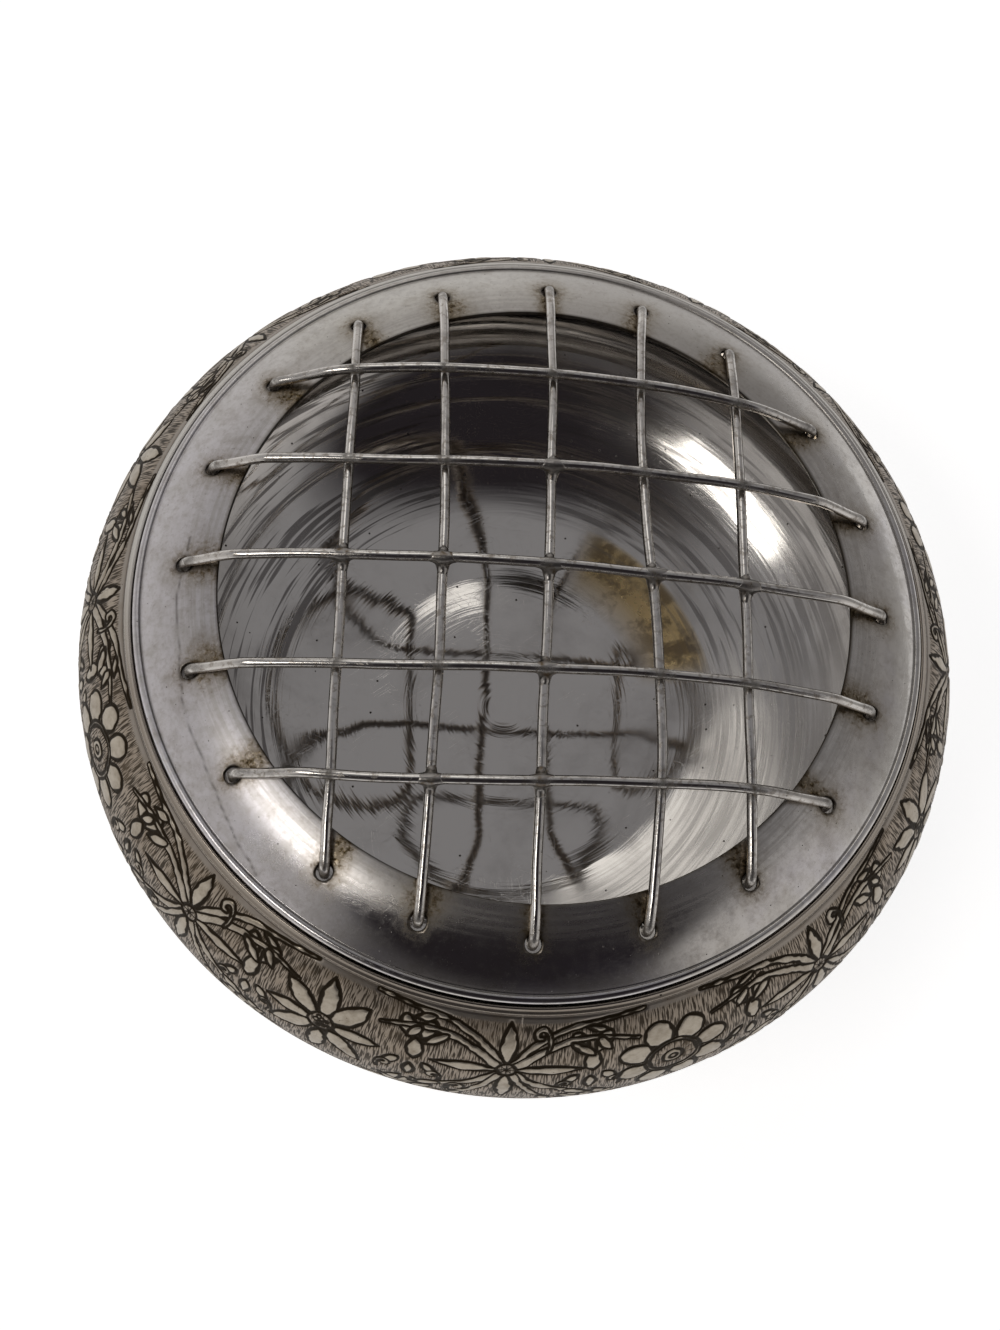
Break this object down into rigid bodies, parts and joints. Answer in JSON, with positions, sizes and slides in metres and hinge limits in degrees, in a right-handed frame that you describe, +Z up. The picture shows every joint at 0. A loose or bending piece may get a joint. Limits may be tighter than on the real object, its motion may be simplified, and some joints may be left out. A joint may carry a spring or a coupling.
{
  "type": "flower frog bowl",
  "caption": "Squat round silver-plated bowl on a low foot ring, with a lift-off domed cover whose arched wire grid holds flower stems over a wide opening.",
  "frame": {"origin": "centre of the foot ring's base, on the table", "axes": "+Z up along the bowl's axis, +X along the cross wires, +Y along the long wires, away from the viewer"},
  "size_m": [0.13, 0.13, 0.0652],
  "materials": {
    "bowl_silver": "silver plate, engraved and darkened in the cuts",
    "foot_silver": "polished silver plate, lightly tarnished",
    "cover_silver": "polished silver plate with pits and tarnish",
    "collar_silver": "satin silver plate",
    "wire_silver": "polished silver-plated wire",
    "solder": "dull silver solder with tarnish"
  },
  "bodies": {
    "bowl": {"bowl_shell": "bowl_silver", "foot_ring": "foot_silver"},
    "frog_cover": {"cover_shell": "cover_silver", "cover_collar": "collar_silver", "cross_wire_1": "wire_silver", "cross_wire_2": "wire_silver", "cross_wire_3": "wire_silver", "cross_wire_4": "wire_silver", "cross_wire_5": "wire_silver", "long_wire_1": "wire_silver", "long_wire_2": "wire_silver", "long_wire_3": "wire_silver", "long_wire_4": "wire_silver", "long_wire_5": "wire_silver", "solder_3_1": "solder", "solder_3_2": "solder", "solder_3_3": "solder", "solder_3_4": "solder", "solder_3_5": "solder", "solder_2_3": "solder", "solder_4_3": "solder", "solder_5_2": "solder", "solder_5_3": "solder"}
  },
  "joints": [
    {"name": "cover_lift", "type": "slide", "parent": "bowl", "child": "frog_cover", "axis": [0, 0, 1], "range_m": [0, 0.04]}
  ]
}
